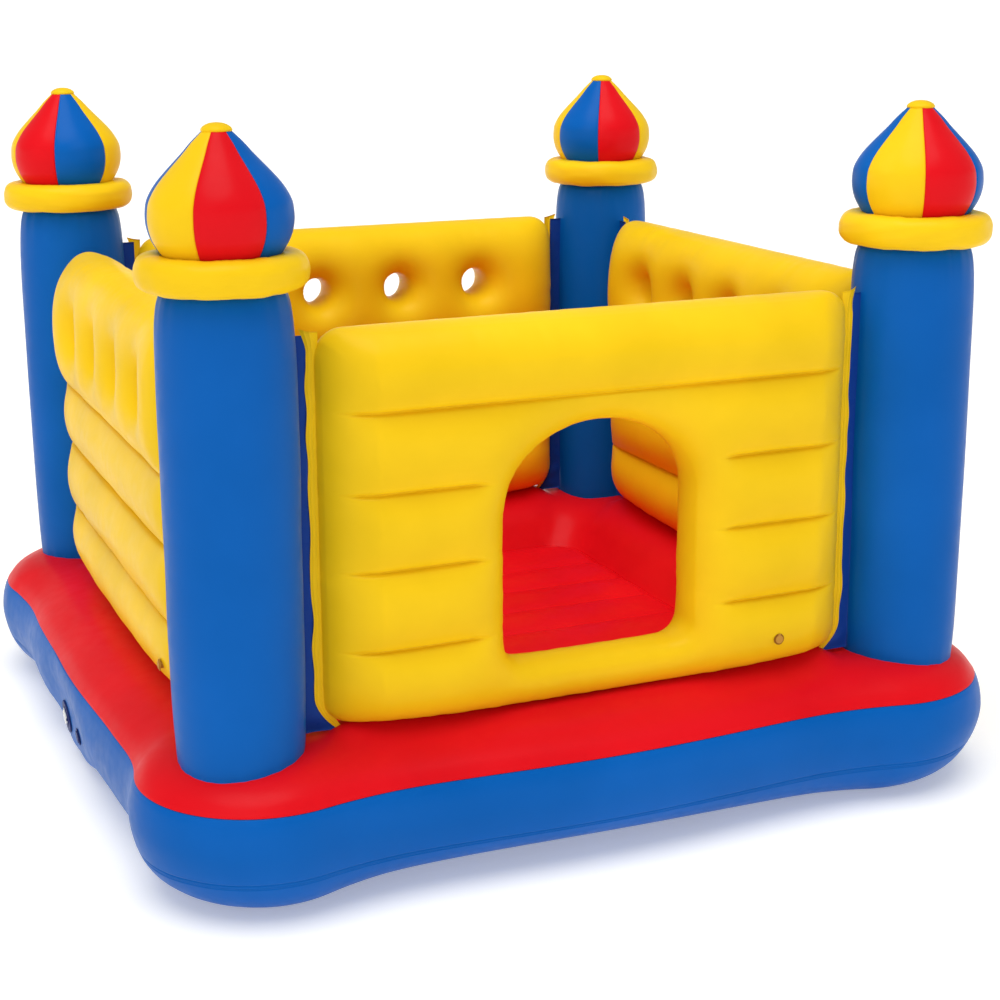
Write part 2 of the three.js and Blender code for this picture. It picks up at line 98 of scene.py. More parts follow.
def vinyl(name, colour, roughness=0.36, grain=1.0, coat=0.03):
    """Calendered vinyl sheet: a fine grain, a soft orange peel, and tone and gloss that vary slowly."""
    material = bpy.data.materials.new(name)
    material.use_nodes = True
    nodes, links = material.node_tree.nodes, material.node_tree.links
    shader = nodes["Principled BSDF"]
    shader.inputs["Coat Weight"].default_value = coat
    shader.inputs["Coat Roughness"].default_value = 0.22
    shader.inputs["Specular IOR Level"].default_value = 0.06
    place = nodes.new("ShaderNodeTexCoord").outputs["Object"]

    def noise(scale, detail=2.0):
        node = nodes.new("ShaderNodeTexNoise")
        node.inputs["Scale"].default_value = scale
        node.inputs["Detail"].default_value = detail
        links.new(place, node.inputs["Vector"])
        return node.outputs["Fac"]

    def remap(value, low, high):
        node = nodes.new("ShaderNodeMapRange")
        node.inputs["From Min"].default_value = 0.3
        node.inputs["From Max"].default_value = 0.7
        node.inputs["To Min"].default_value = low
        node.inputs["To Max"].default_value = high
        links.new(value, node.inputs["Value"])
        return node.outputs["Result"]

    tone = nodes.new("ShaderNodeMix")
    tone.data_type = "RGBA"
    tone.inputs["A"].default_value = (*[0.93 * c for c in colour], 1)
    tone.inputs["B"].default_value = (*[min(1.0, 1.05 * c + 0.002) for c in colour], 1)
    links.new(remap(noise(4.0, 4.0), 0.0, 1.0), tone.inputs["Factor"])
    links.new(tone.outputs["Result"], shader.inputs["Base Color"])
    links.new(remap(noise(38.0, 3.0), roughness - 0.05, roughness + 0.06), shader.inputs["Roughness"])

    peel = nodes.new("ShaderNodeBump")
    peel.inputs["Strength"].default_value = 0.07
    peel.inputs["Distance"].default_value = 0.5 * MM
    links.new(noise(32.0, 2.0), peel.inputs["Height"])
    fine = nodes.new("ShaderNodeBump")
    fine.inputs["Strength"].default_value = 0.12 * grain
    fine.inputs["Distance"].default_value = 0.15 * MM
    links.new(noise(1100.0, 1.0), fine.inputs["Height"])
    links.new(peel.outputs["Normal"], fine.inputs["Normal"])
    links.new(fine.outputs["Normal"], shader.inputs["Normal"])
    return material


VINYL = {
    "blue": vinyl("blue_vinyl", linear(0, 92, 178)),
    "red": vinyl("red_vinyl", linear(222, 14, 26)),
    "yellow": vinyl("yellow_vinyl", linear(244, 200, 22)),
    # Painted shade: the web is a darker blue than the pillars, for the shade in the recess between a
    # wall's end and its pillar.
    "web": vinyl("web_vinyl", linear(18, 62, 152), roughness=0.3),
    "strip": vinyl("inner_strip_vinyl", linear(230, 226, 216), roughness=0.5, coat=0.0),
    "valve_blue": vinyl("valve_blue", linear(30, 44, 104), roughness=0.42, grain=0.5),
    "valve_clear": vinyl("valve_clear", linear(236, 236, 232), roughness=0.34, grain=0.5),
    # Painted shade: the front wall's valve stem is the wall's own yellow, darkened to amber for the shade
    # in its recess.
    "valve_shaded_amber": vinyl("valve_shaded_amber", linear(150, 96, 26), roughness=0.4, grain=0.5),
    # Painted shade: the other wall valve parts are the wall's own yellow, darkened and browned for the
    # shade in their recesses.
    "valve_shaded_yellow": vinyl("valve_shaded_yellow", linear(196, 142, 60), roughness=0.4, grain=0.5),
}


# ---- meshes ----
def piece(name, points, faces, colour, body=HOUSE, replaces=()):
    """A smooth-shaded mesh object in the row frame that rides on a body."""
    mesh = bpy.data.meshes.new(name)
    mesh.from_pydata([tuple(p) for p in np.asarray(points).tolist()], [], [tuple(f) for f in faces])
    mesh.validate()
    mesh.update()
    mesh.polygons.foreach_set("use_smooth", [True] * len(mesh.polygons))
    obj = bpy.data.objects.new(name, mesh)
    bpy.context.scene.collection.objects.link(obj)
    mesh.materials.append(VINYL[colour])
    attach(obj, body)
    if replaces:
        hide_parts(*replaces)
    return obj


def grid_faces(rows, columns, around=False, closed=False):
    """Quads over a grid of points. around joins the last column to the first, closed the last row."""
    faces = []
    for i in range(rows if closed else rows - 1):
        for j in range(columns if around else columns - 1):
            a, b = i * columns + j, i * columns + (j + 1) % columns
            c, d = (i + 1) % rows * columns + (j + 1) % columns, (i + 1) % rows * columns + j
            faces.append((a, b, c, d))
    return faces


def fan(first, columns, centre, flip=False):
    """Triangles from a ring of points to one centre point."""
    ring = [(first + j, first + (j + 1) % columns, centre) for j in range(columns)]
    return [f[::-1] for f in ring] if flip else ring


def smooth_curve(points, steps):
    """A Catmull-Rom curve through the points."""
    p = np.array(points, float)
    p = np.vstack([2 * p[0] - p[1], p, 2 * p[-1] - p[-2]])
    out = []
    for i in range(1, len(p) - 2):
        for t in np.linspace(0, 1, steps, endpoint=False):
            a, b, c, d = p[i - 1 : i + 3]
            square = (2 * a - 5 * b + 4 * c - d) * t**2
            cube = (3 * b - a - 3 * c + d) * t**3
            out.append(0.5 * (2 * b + (c - a) * t + square + cube))
    out.append(p[-2])
    return np.array(out)


def waves(seed, count, low, high, dimensions):
    """A smooth random field: a sum of sines with wavelengths from low to high, about -1 to 1."""
    rng = np.random.default_rng(seed)
    directions = rng.normal(size=(count, dimensions))
    directions /= np.linalg.norm(directions, axis=1)[:, None]
    k = directions * (2 * np.pi / rng.uniform(low, high, count))[:, None]
    phase = rng.uniform(0, 2 * np.pi, count)

    def field(*coordinates):
        total = 0
        for row, shift in zip(k, phase):
            total = total + np.sin(sum(a * c for a, c in zip(row, coordinates)) + shift)
        return total / math.sqrt(count / 2) / 1.6

    return field


def lathe(name, profile, segments, colour, centre=(0, 0, 0), shape=None, **options):
    """A body of revolution about +Z from (radius, height) pairs that start and end on the axis."""
    profile = np.asarray(profile, float)
    turn = np.linspace(0, 2 * np.pi, segments, endpoint=False)
    rows = profile[1:-1]
    r, a = np.broadcast_arrays(rows[:, 0][:, None], turn[None, :])
    z = np.broadcast_to(rows[:, 1][:, None], r.shape).copy()
    if shape:
        r, z = shape(r, a, z)
    points = np.stack([r * np.cos(a), r * np.sin(a), z], -1).reshape(-1, 3)
    points = np.vstack([points, [[0, 0, profile[0, 1]], [0, 0, profile[-1, 1]]]]) + np.array(centre)
    n = len(rows) * segments
    faces = grid_faces(len(rows), segments, around=True)
    faces += fan(0, segments, n, flip=True) + fan(n - segments, segments, n + 1)
    return piece(name, points, faces, colour, **options)


# ---- base ----
def base_outline(per_quarter):
    """Plan outline: straight sides, hollow fillets and corner lobes, evenly spaced along its length."""
    lobe_at = SPAN / 2 - LOBE_R
    reach = LOBE_R + FILLET_R
    across = SIDE + FILLET_R - lobe_at
    fillet_y = lobe_at - math.sqrt(reach**2 - across**2)
    turn = math.asin((lobe_at - fillet_y) / reach)
    eighth = [
        (SIDE + BOW * math.cos(math.pi * y / 2 / fillet_y) ** 1.5, y)
        for y in np.linspace(0, fillet_y, 400, endpoint=False)
    ]
    for a in np.linspace(0, turn, 200, endpoint=False):
        eighth.append((SIDE + FILLET_R * (1 - math.cos(a)), fillet_y + FILLET_R * math.sin(a)))
    for a in np.linspace(-turn, math.pi / 4, 400):
        eighth.append((lobe_at + LOBE_R * math.cos(a), lobe_at + LOBE_R * math.sin(a)))
    quarter = np.array(eighth + [(y, x) for x, y in eighth[-2:0:-1]])
    whole = []
    for q in range(4):
        c, s = [(1, 0), (0, 1), (-1, 0), (0, -1)][q]
        whole.append(quarter @ np.array([[c, s], [-s, c]]))
    whole = np.vstack(whole)
    steps = np.linalg.norm(np.roll(whole, -1, 0) - whole, axis=1)
    run = np.concatenate([[0], np.cumsum(steps)])
    wanted = np.linspace(0, run[-1], 4 * per_quarter, endpoint=False)
    looped = np.vstack([whole, whole[:1]])
    x, y = (np.interp(wanted, run, looped[:, i]) for i in (0, 1))
    return np.stack([x - left_fullness(y) * ease((-x - 0.55) / 0.2), y], -1)


def ease(t):
    """A smooth step from 0 to 1."""
    t = np.clip(t, 0, 1)
    return t * t * (3 - 2 * t)


def left_fullness(y):
    """The ring swells further out on its left side, towards the back."""
    return MM * (16 * ease((y + 0.58) / 0.2) + 15 * ease((y - 0.05) / 0.3) - 8 * ease((y - 0.48) / 0.22))


def floor_edge(outline):
    """The points of the floor's rounded square that the outline points look in on."""
    straight = FLOOR_HALF - FLOOR_CORNER
    core = np.clip(outline, -straight, straight)
    away = outline - core
    return core + away / np.linalg.norm(away, axis=1)[:, None] * FLOOR_CORNER


def ring_points(section, outline):
    """Rows of points: the section's (inset, height) pairs carried all the way round the outline."""
    edge = floor_edge(outline)
    whole = np.linalg.norm(edge - outline, axis=1)
    rows = []
    for inset, z in section:
        way = np.full(len(outline), float(inset))
        if inset > ROLL:
            way = ROLL + (inset - ROLL) * (whole - ROLL) / (RING_WIDTH - ROLL)
        plan = outline + (edge - outline) * (way / whole)[:, None]
        rows.append(np.column_stack([plan, z + belly_lift(outline, inset, z)]))
    return np.array(rows)


def belly_lift(outline, inset, z):
    """The ring's belly hangs a little clear of the ground between the corner lobes, which carry it."""
    x, y = outline.T
    front = (y < 0) & (np.abs(y) > np.abs(x))
    along = np.where(front, x + 0.1, np.minimum(np.abs(x), np.abs(y)))
    between = 0.5 + 0.5 * np.cos(np.pi * np.clip(np.abs(along) / (600 * MM), 0, 1))
    low = max(0.0, 1 - z / LOW_SEAM_Z) * max(0.0, 1 - inset / (150 * MM)) ** 0.5
    return 32 * MM * between**0.7 * low


def flatten_at_valves(rows):
    """The left side hangs full, and is drawn flat where the stiff valve bodies are welded into it."""
    x, y, z = rows[..., 0], rows[..., 1], rows[..., 2]
    x = x - 3 * MM * np.exp(-(((z - 72 * MM) / (38 * MM)) ** 2)) * ease((-x - 0.8) / 0.03)
    flat = VALVE_FACET_X - VALVE_LEAN * (z - VALVE_AT_Z)
    for valve_y, radius in VALVES:
        away = np.hypot(y - valve_y, z - VALVE_AT_Z)
        hold = 1 - ease((away - radius) / (150 * MM))
        x = np.where(x < -0.8, x + hold * (flat - x), x)
    rows[..., 0] = x
    return rows


def pulled_up(rows):
    """The ring's skin is drawn up along the walls' lower welds, most near the walls' ends."""
    x, y = np.abs(rows[..., 0]), np.abs(rows[..., 1])
    along, across = np.minimum(x, y), np.maximum(x, y)
    inside = np.clip((540 * MM - along) / (60 * MM), 0, 1)
    ridge = np.exp(-(((across - WALL_AT) / (42 * MM)) ** 2))
    rows[..., 2] += weld_lift(along) * ridge * inside**2 * (3 - 2 * inside)
    return rows


def build_base():
    """The ring's blue side skin, red top skin and underside. Returns the top skin."""
    outline = base_outline(180)
    n = len(outline)
    low_section = smooth_curve(
        [(150, 2), (118, 6), (86, 17), (58, 34), (36, 56), (18, 85), (6, 115), (0, 146), (2, 176),
         (8, 199), (14, 211)], 6
    ) * MM
    seams = [LOW_SEAM_Z + d * MM for d in (-13, -11, -10, -9, -8, -7, -5, -3, -1.5, 0, 1.5, 3, 5)]
    heights = np.unique(np.concatenate([low_section[:, 1], seams]))
    low_section = np.column_stack([np.interp(heights, low_section[:, 1], low_section[:, 0]), heights])
    groove = np.exp(-(((low_section[:, 1] - LOW_SEAM_Z) / (1.7 * MM)) ** 2))
    groove += 0.7 * np.exp(-(((low_section[:, 1] - LOW_SEAM_Z + 9 * MM) / (1.4 * MM)) ** 2))
    low_section[:, 0] += 2.0 * MM * groove
    tuck = np.array([(15, 212.4), (19, 213.0), (26, 213.0)]) * MM
    low_section = np.vstack([low_section, tuck])
    low_rows = flatten_at_valves(ring_points(low_section, outline))
    low = piece(
        "base_side_skin", low_rows.reshape(-1, 3), grid_faces(len(low_rows), n, around=True), "blue",
        replaces=["base_side_panel"],
    )
    top_section = smooth_curve(
        [(15, 214), (34, 237), (62, 254), (95, 265), (135, 270), (175, 271), (214, 269), (242, 263),
         (268, 249), (291, 229), (310, 203), (326, 180), (338, 160), (344, 145)], 6
    )
    top_section = np.vstack([[(26, 213.6), (19, 213.6), (15, 213.9)], top_section]) * MM
    top_rows = pulled_up(ring_points(top_section, outline))
    top = piece(
        "base_top_skin", top_rows.reshape(-1, 3), grid_faces(len(top_rows), n, around=True), "red",
        replaces=["base_top_panel"],
    )
    sheet = ring_points([(149 * MM, 2.2 * MM)], outline)[0]
    under = np.vstack([sheet, [[0, 0, 2.2 * MM]]])
    piece("base_underside", under, fan(0, n, n, flip=True), "blue", replaces=["base_bottom_sheet"])
    return top


def build_floor():
    """The jump floor: pillow-ended channels between its creases, dropped into a trough at its edge."""
    creases = np.array([-2.5, -1.5, -0.5, 0.5, 1.5, 2.5]) * CHANNEL
    reach = FLOOR_HALF + 10 * MM
    fine = [0, 0.02, 0.05, 0.1, 0.18, 0.28, 0.4, 0.5]
    share = np.array(fine + [1 - t for t in fine[-2:0:-1]])
    edges = np.concatenate([[-reach], creases, [reach]])
    ys = np.unique(np.concatenate([a + share * (b - a) for a, b in zip(edges, edges[1:])] + [[reach]]))
    xs = reach * np.sin(np.linspace(-np.pi / 2, np.pi / 2, 90))
    x, y = np.meshgrid(xs, ys, indexing="ij")
    first, last = edges[0] / 2 + edges[1] / 2, edges[-1] / 2 + edges[-2] / 2
    centre = np.array([first, *(creases[:-1] + CHANNEL / 2), last])
    nearest = np.abs(y[..., None] - centre).argmin(-1)
    half = np.where((nearest == 0) | (nearest == len(centre) - 1), (reach - creases[-1]) / 2, CHANNEL / 2)
    across = np.clip((y - centre[nearest]) / half, -1, 1)
    ends = np.clip((np.abs(x) - 420 * MM) / (FLOOR_HALF - 420 * MM), 0, 1)
    crown = np.sqrt(1 - across**2 * 0.96)
    z = FLOOR_Z - 12 * MM + 15 * MM * crown * np.sqrt(1 - 0.75 * ends**2)
    corner = np.hypot(np.maximum(np.abs(x) - 440 * MM, 0), np.maximum(np.abs(y) - 440 * MM, 0))
    z -= np.clip(corner - 60 * MM, 0, None) * 0.45
    wander = waves(8, 10, 0.05, 0.16, 2)
    z += 0.7 * MM * wander(x, y)
    keep = corner < FLOOR_CORNER + 14 * MM
    index = -np.ones(x.shape, int)
    index[keep] = np.arange(keep.sum())
    points = np.stack([x, y, z], -1)[keep]
    faces = []
    for i in range(len(xs) - 1):
        for j in range(len(ys) - 1):
            quad = (index[i, j], index[i + 1, j], index[i + 1, j + 1], index[i, j + 1])
            if min(quad) >= 0:
                faces.append(tuple(int(q) for q in quad))
    floor = piece("jump_floor_skin", points, faces, "red", replaces=["jump_floor"])


# ---- towers ----
def surface_under(tree, x, y):
    """The height of the base's skin under a point."""
    hit = tree.ray_cast(Vector((x, y, 0.5)), Vector((0, 0, -1)))
    return hit[0].z if hit[0] else RING_TOP


def build_tower(corner, base_tree, sx, sy, seam, colours):
    """A pillar that stands on the ring, a little puckered at both ends, with its collar and dome."""
    centre = np.array([sx * WALL_AT, sy * WALL_AT, 0])
    seed = 10 + list(TOWERS).index(corner)
    segments = 120
    turn = np.linspace(0, 2 * np.pi, segments, endpoint=False)
    reach = 0.112
    foot = np.array(
        [
            surface_under(base_tree, centre[0] + reach * math.cos(a), centre[1] + reach * math.sin(a))
            for a in turn
        ]
    )
    profile = smooth_curve(
        [(111, 0.0), (113, 0.03), (115, 0.12), (116, 0.35), (117, 0.6), (116.5, 0.8), (115, 0.9),
         (111.5, 0.955), (106, 0.985), (98, 1.0)], 6
    )
    radius, height = profile[:, 0] * MM, profile[:, 1]
    foot_roll = np.array([(96, -0.012), (104, -0.010), (109, -0.006), (111, -0.002)])
    radius = np.concatenate([foot_roll[:, 0] * MM, radius])
    height = np.concatenate([foot_roll[:, 1], height])
    wrinkle = waves(seed, 16, 0.35, 1.2, 2)
    slow = waves(seed + 5, 8, 0.5, 1.5, 3)
    rows = []
    for r, h in zip(radius, height):
        z = foot + 1 * MM + (PILLAR_TOP - foot) * h
        near_top = math.exp(-max(1 - h, 0) / 0.05)
        near_foot = math.exp(-max(h, 0) / 0.025)
        bend = r + (1.3 * near_top + 0.7 * near_foot) * MM * wrinkle(3 * np.cos(turn), 3 * np.sin(turn))
        bend = bend + 0.8 * MM * slow(np.cos(turn), np.sin(turn), np.full(segments, 3 * h))
        rows.append(np.column_stack([centre[0] + bend * np.cos(turn), centre[1] + bend * np.sin(turn), z]))
    points = np.vstack(rows + [[[*centre[:2], PILLAR_TOP]]])
    faces = grid_faces(len(rows), segments, around=True)
    faces += fan((len(rows) - 1) * segments, segments, len(points) - 1)
    pillar = piece(f"{corner}_pillar_skin", points, faces, "blue", replaces=[f"{corner}_pillar"])
    build_collar(corner, centre, seed)
    build_dome(corner, centre, seam, colours)


def build_collar(corner, centre, seed):
    """A ring tube, a little flat on its outer face, with puckers where it is welded down."""
    middle, tube = 113 * MM, 31 * MM
    segments, steps = 168, 44
    turn = np.linspace(0, 2 * np.pi, segments, endpoint=False)[None, :]
    section = np.linspace(0, 2 * np.pi, steps, endpoint=False)[:, None]
    pucker = waves(seed + 20, 18, 0.16, 0.5, 2)(2 * np.cos(turn), 2 * np.sin(turn))
    dent = waves(seed + 40, 10, 0.5, 1.6, 3)(
        2 * np.cos(turn), 2 * np.sin(turn), 1.2 * np.sin(section) + 0 * turn
    )
    inner = 0.5 - 0.5 * np.cos(section)
    squareness = 1 / (np.abs(np.cos(section)) ** 2.5 + np.abs(np.sin(section)) ** 2.5) ** (1 / 2.5)
    size = tube * squareness * 0.985 + MM * (0.7 * inner**2 * pucker + 0.8 * dent)
    r = middle + size * np.cos(section)
    height = COLLAR_Z + size * np.sin(section) + 0 * turn
    points = np.stack([r * np.cos(turn), r * np.sin(turn), height], -1).reshape(-1, 3) + centre
    faces = grid_faces(steps, segments, around=True, closed=True)
    collar = piece(f"{corner}_collar_tube", points, faces, "yellow", replaces=[f"{corner}_collar"])


DOME_PROFILE = [
    (84, 1112), (88, 1125), (98, 1139), (108, 1155), (115, 1171), (119, 1190), (119, 1208), (116.5, 1224),
    (109, 1240), (98, 1256), (84, 1272), (69, 1288), (55, 1303), (43, 1317), (29, 1331), (18, 1341.5),
]


def build_dome(corner, centre, seam, colours):
    """Six gores that swell a little between the seams and turn inwards at them."""
    profile = smooth_curve(DOME_PROFILE, 5) * MM
    across = np.array([0, 0, 0.012, 0.03, 0.06, 0.11, 0.18, 0.27, 0.38, 0.5])
    tucks = np.array([4.5, 1.6, 0.55, 0.12] + [0] * 6) * MM
    share = np.concatenate([across, 1 - across[-2::-1]])
    tuck = np.concatenate([tucks, tucks[-2::-1]])
    step = math.pi / 3
    for k in range(6):
        start = math.radians(seam) + k * step
        rows = []
        for r, z in profile:
            swell = 1 + 0.028 * np.sin(np.pi * share) ** 0.8
            lean = np.minimum(1, r / (45 * MM))
            radius = r * (0.985 + 0.015 * np.sin(np.pi * share)) * swell - tuck * lean
            angle = start + share * step
            flat = np.full(len(share), z)
            rows.append(np.column_stack([radius * np.cos(angle), radius * np.sin(angle), flat]) + centre)
        points = np.vstack(rows)
        colour = colours[k % 3]
        gore = piece(
            f"{corner}_dome_gore_{k + 1}", points, grid_faces(len(rows), len(share)), colour,
            replaces=[f"{corner}_dome"],
        )
    edge = np.array([(0, 1334), (21, 1334), (25, 1335.4), (26, 1337.4), (25.2, 1340), (22.5, 1343),
                     (17.6, 1346.2), (11.5, 1348.4), (5.4, 1349.3), (0, 1349.5)]) * MM

    def facets(r, a, z):
        return r * (1 + 0.02 * np.cos(6 * (a - math.radians(seam) - step / 2))), z

    lathe(
        f"{corner}_dome_tip", edge, 48, "yellow", centre=centre, shape=facets,
        replaces=[f"{corner}_dome_cap"],
    )


# ---- walls ----
# In a wall's own frame x runs along it, z is up and its outer face looks along -y. Its form is like
# a membrane's, held at the welds and the inner strips: w, the square of the half thickness, solves a
# Poisson equation over the wall's outline, so that free stretches come out round. The load is chosen
# for the look, more in the top stretch than below, and is no real air pressure.
CELL = 4 * MM


def rounded_box(x, z, half_x, low, high, corner):
    """Distance to the edge of a rounded rectangle, positive inside."""
    qx = np.abs(x) - (half_x - corner)
    qz = np.abs(z - (low + high) / 2) - ((high - low) / 2 - corner)
    return corner - np.hypot(np.maximum(qx, 0), np.maximum(qz, 0)) - np.minimum(np.maximum(qx, qz), 0)


def gradient(function, x, z):
    """The slope of a function along x and z."""
    small = 0.5 * MM
    gx = (function(x + small, z) - function(x - small, z)) / (2 * small)
    gz = (function(x, z + small) - function(x, z - small)) / (2 * small)
    return gx, gz


def outside_door(x, z):
    """Distance to the doorway, with straight sides and a sill below an elliptical arch."""
    qx = np.abs(x) - (DOOR_HALF - DOOR_CORNER)
    qz = DOOR_SILL + DOOR_CORNER - z
    straight = np.hypot(np.maximum(qx, 0), np.maximum(qz, 0)) + np.minimum(np.maximum(qx, qz), 0)
    straight = straight - DOOR_CORNER
    rho = np.hypot(x / DOOR_HALF, (z - DOOR_SPRING) / DOOR_RISE)
    slope = np.hypot(x / DOOR_HALF**2, (z - DOOR_SPRING) / DOOR_RISE**2) / np.maximum(rho, 1e-6)
    arch = (rho - 1) / np.maximum(slope, 1e-6)
    return np.where(z > DOOR_SPRING, arch, straight)


def outside_windows(x, z):
    """Distance to the nearest window."""
    return np.min([np.hypot(x - c, z - WINDOW_Z) - WINDOW_R for c in WINDOW_X], axis=0)


def inside_wall(x, z, is_front):
    """Distance to the nearest weld line, positive in the wall."""
    hole = outside_door(x, z) if is_front else outside_windows(x, z)
    return np.minimum(rounded_box(x, z, WALL_HALF, WALL_LOW, WALL_TOP, WALL_CORNER), hole)


def solve_wall(is_front, strips, bulge):
    """Relaxes w on a grid. strips is a list of (height, half thickness, stretches of x): there a
    strip inside holds the faces back, with slack towards its ends."""
    margin = 3 * CELL
    xs = np.arange(-WALL_HALF - margin, WALL_HALF + margin + CELL / 2, CELL)
    zs = np.arange(WALL_LOW - margin, WALL_TOP + margin + CELL / 2, CELL)
    x, z = np.meshgrid(xs, zs, indexing="ij")
    distance = inside_wall(x, z, is_front)
    free = distance > 0
    w = np.where(free, 0.06**2, 0.0)
    cap = np.full(x.shape, 1.0)
    for height, half, stretches in strips:
        row = int(round((height - zs[0]) / CELL))
        for a, b in stretches:
            held = (xs >= a) & (xs <= b)
            slack = 1 - np.clip(np.minimum(xs - a, b - xs) / (50 * MM), 0, 1)
            cap[held, row] = half**2 + slack[held] ** 2 * (0.09**2 - half**2)
    load = 2 * bulge(z) * CELL**2
    checker = np.add.outer(np.arange(len(xs)), np.arange(len(zs))) % 2 == 0
    core = (slice(1, -1), slice(1, -1))
    for _ in range(700):
        for colour in (checker, ~checker):
            update = (free & colour)[core]
            mean = (w[:-2, 1:-1] + w[2:, 1:-1] + w[1:-1, :-2] + w[1:-1, 2:] + load[core]) / 4
            w[core][update] += 1.93 * (mean - w[core])[update]
            np.minimum(w, cap, out=w)
    return xs, zs, w


def sample(xs, zs, w, x, z):
    """Bilinear reading of a grid."""
    i = np.clip((x - xs[0]) / CELL, 0, len(xs) - 1.001)
    k = np.clip((z - zs[0]) / CELL, 0, len(zs) - 1.001)
    i0, k0 = i.astype(int), k.astype(int)
    u, v = i - i0, k - k0
    return (
        w[i0, k0] * (1 - u) * (1 - v) + w[i0 + 1, k0] * u * (1 - v) + w[i0, k0 + 1] * (1 - u) * v
        + w[i0 + 1, k0 + 1] * u * v
    )


def wall_field(is_front, solved):
    """w at any point, with its zero exactly on the weld lines."""
    band = 7 * MM

    def field(x, z):
        d = inside_wall(x, z, is_front)
        gx, gz = gradient(lambda a, b: inside_wall(a, b, is_front), x, z)
        push = np.maximum(band - d, 0)
        w = sample(*solved, x + gx * push, z + gz * push)
        return np.where(d < band, w * d / band, w)

    return field


def grid_lines(low, high, marks, fine, coarse):
    """Grid planes that are fine near the marks, each in the middle of a cell, and coarse between them."""
    stops = [low, *sorted(marks), high]
    lines = [low]
    for a, b in zip(stops, stops[1:]):
        start = a + (fine / 2 if a in marks else 0)
        end = b - (fine / 2 if b in marks else 0)
        length = end - start
        count = max(4, int(round(length / (0.62 * coarse + 0.38 * fine))))
        t = np.linspace(0, 1, count + 1)
        spread = t - (1 - fine / coarse) * np.sin(2 * np.pi * t) / (2 * np.pi) * 0.9
        lines += list(start + spread * length)
    lines.append(high)
    return np.array(sorted(set(np.round(lines, 6))))


def surface_net(xs, ys, zs, value):
    """Points and quads on the zero level of a gridded field that is positive inside."""
    axes = (xs, ys, zs)
    shape = tuple(len(a) - 1 for a in axes)
    total = np.zeros(shape + (3,))
    count = np.zeros(shape)
    crossings = []
    mesh = np.meshgrid(*axes, indexing="ij")
    for axis in range(3):
        low = [slice(None)] * 3
        high = [slice(None)] * 3
        low[axis], high[axis] = slice(0, -1), slice(1, None)
        a, b = value[tuple(low)], value[tuple(high)]
        cross = (a > 0) != (b > 0)
        t = np.where(cross, a / np.where(cross, a - b, 1), 0)
        spot = [m[tuple(low)] for m in mesh]
        spot[axis] = spot[axis] + t * (mesh[axis][tuple(high)] - mesh[axis][tuple(low)])
        others = [i for i in range(3) if i != axis]
        for da in (0, 1):
            for db in (0, 1):
                part = [slice(None)] * 3
                part[others[0]] = slice(da, da + shape[others[0]])
                part[others[1]] = slice(db, db + shape[others[1]])
                hit = cross[tuple(part)]
                count += hit
                for i in range(3):
                    total[..., i] += np.where(hit, spot[i][tuple(part)], 0)
        crossings.append((cross, a > 0))
    used = count > 0
    number = -np.ones(shape, int)
    number[used] = np.arange(used.sum())
    points = total[used] / count[used][:, None]
    faces = []
    for axis, (cross, inside_low) in enumerate(crossings):
        u, v = [(1, 2), (2, 0), (0, 1)][axis]
        where = np.argwhere(cross)
        ok = (where[:, u] > 0) & (where[:, v] > 0) & (where[:, u] < shape[u]) & (where[:, v] < shape[v])
        where = where[ok]
        quad = []
        for du, dv in ((1, 1), (0, 1), (0, 0), (1, 0)):
            cell = where.copy()
            cell[:, u] -= du
            cell[:, v] -= dv
            quad.append(number[cell[:, 0], cell[:, 1], cell[:, 2]])
        quad = np.stack(quad, 1)
        flip = ~inside_low[where[:, 0], where[:, 1], where[:, 2]]
        quad[flip] = quad[flip][:, ::-1]
        faces.append(quad)
    return points, np.vstack(faces)


def wall_mesh(is_front):
    """The wall's two faces as one closed mesh in its own frame."""
    creases = (432, 576, 716, TOP_CREASE) if is_front else (432, 576, 716)
    jamb = DOOR_HALF + 26 * MM
    beside = [(-STRIP_END, -jamb), (jamb, STRIP_END)]
    full = [(-STRIP_END, STRIP_END)]
    half = (60, 61, 62, 66) if is_front else (60, 62, 66)
    strips = []
    for z, h in zip(creases, half):
        strips.append((z * MM, h * MM, full if z == TOP_CREASE or not is_front else beside))

    def bulge(z):
        if is_front:
            return np.where(z > 0.86, 1.25, 0.78)
        return np.where(z > 0.716, 0.92, 0.78)

    solved = solve_wall(is_front, strips, bulge)
    field = wall_field(is_front, solved)
    edge = 8 * MM
    coarse = 8 * MM
    marks = [-DOOR_HALF, DOOR_HALF] if is_front else WINDOW_X
    xs = grid_lines(-WALL_HALF - edge, WALL_HALF + edge, marks, 4 * MM, coarse)
    ys = np.linspace(-0.102, 0.102, 40)
    zs = grid_lines(WALL_LOW - edge, WALL_TOP + edge, [c * MM for c in creases], 1.2 * MM, coarse)
    x, z = np.meshgrid(xs, zs, indexing="ij")
    w = field(x, z)
    points, faces = surface_net(xs, ys, zs, w[:, None, :] - ys[None, :, None] ** 2)
    points = settle(points, field)
    return pucker_wall(points, is_front, strips), faces


def settle(points, field):
    """Moves the points onto w = y squared, down the slope of the difference."""
    for _ in range(4):
        x, y, z = points.T
        gap = field(x, z) - y**2
        gx, gz = gradient(field, x, z)
        slope = np.stack([gx, -2 * y, gz], 1)
        move = -gap[:, None] * slope / (np.sum(slope**2, 1)[:, None] + 1e-6)
        length = np.linalg.norm(move, axis=1)[:, None]
        points = points + move * np.minimum(1, 3 * MM / np.maximum(length, 1e-9))
    return points


